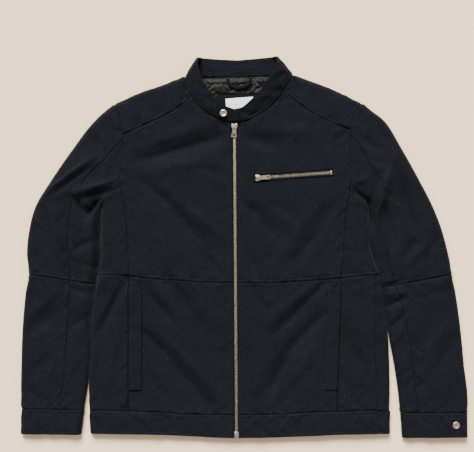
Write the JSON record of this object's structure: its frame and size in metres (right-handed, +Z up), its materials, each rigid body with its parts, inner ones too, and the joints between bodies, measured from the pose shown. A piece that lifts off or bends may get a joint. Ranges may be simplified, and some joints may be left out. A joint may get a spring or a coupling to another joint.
{
  "type": "biker jacket",
  "caption": "Navy cotton biker jacket laid flat: band collar with a snapped tab, full front zip, chest zip pocket, side welt pockets, seamed sleeves.",
  "frame": {"origin": "middle of the laid jacket's footprint, on the surface it lies on", "axes": "+X across the jacket towards the wearer's left sleeve, +Y towards the collar, +Z up out of the front"},
  "size_m": [0.843, 0.719, 0.0362],
  "materials": {
    "navy_twill": "peached cotton twill",
    "lining": "taupe twill lining",
    "label_cloth": "white satin",
    "nickel": "pale nickel plate"
  },
  "bodies": {
    "jacket": {"back_lower": "navy_twill", "back_upper": "navy_twill", "chest_chain": "nickel", "chest_slider": "nickel", "chest_stop": "nickel", "chest_tape": "navy_twill", "collar": "navy_twill", "collar_tab": "navy_twill", "cuff_left": "navy_twill", "cuff_right": "navy_twill", "cuff_snap": "nickel", "front_lower_left": "navy_twill", "front_lower_right": "navy_twill", "front_upper_left": "navy_twill", "front_upper_right": "navy_twill", "hanger_loop": "navy_twill", "hem_back": "navy_twill", "hem_front_left": "navy_twill", "hem_front_right": "navy_twill", "neck_facing": "navy_twill", "neck_label": "label_cloth", "neck_lining": "lining", "pocket_welt_left": "navy_twill", "pocket_welt_right": "navy_twill", "side_lower_left": "navy_twill", "side_lower_right": "navy_twill", "side_upper_left": "navy_twill", "side_upper_right": "navy_twill", "sleeve_inner_lower_left": "navy_twill", "sleeve_inner_lower_right": "navy_twill", "sleeve_inner_upper_left": "navy_twill", "sleeve_inner_upper_right": "navy_twill", "sleeve_outer_lower_left": "navy_twill", "sleeve_outer_lower_right": "navy_twill", "sleeve_outer_upper_left": "navy_twill", "sleeve_outer_upper_right": "navy_twill", "tab_snap": "nickel", "yoke_left": "navy_twill", "yoke_right": "navy_twill", "zip_box": "nickel", "zip_chain": "nickel", "zip_slider": "nickel", "zip_tape_left": "navy_twill", "zip_tape_right": "navy_twill"},
    "front_pull": {"zip_pull": "nickel"},
    "chest_pull": {"chest_pull": "nickel"}
  },
  "joints": [
    {"name": "front_pull_hinge", "type": "hinge", "parent": "jacket", "child": "front_pull", "pos_m": [-0.01794, 0.224, 0.0255], "axis": [-0.998, 0.063, 0], "range_deg": [0, 115]},
    {"name": "chest_pull_hinge", "type": "hinge", "parent": "jacket", "child": "chest_pull", "pos_m": [0.02918, 0.13015, 0.02547], "axis": [0.0712, -0.9975, 0], "range_deg": [0, 115]}
  ]
}
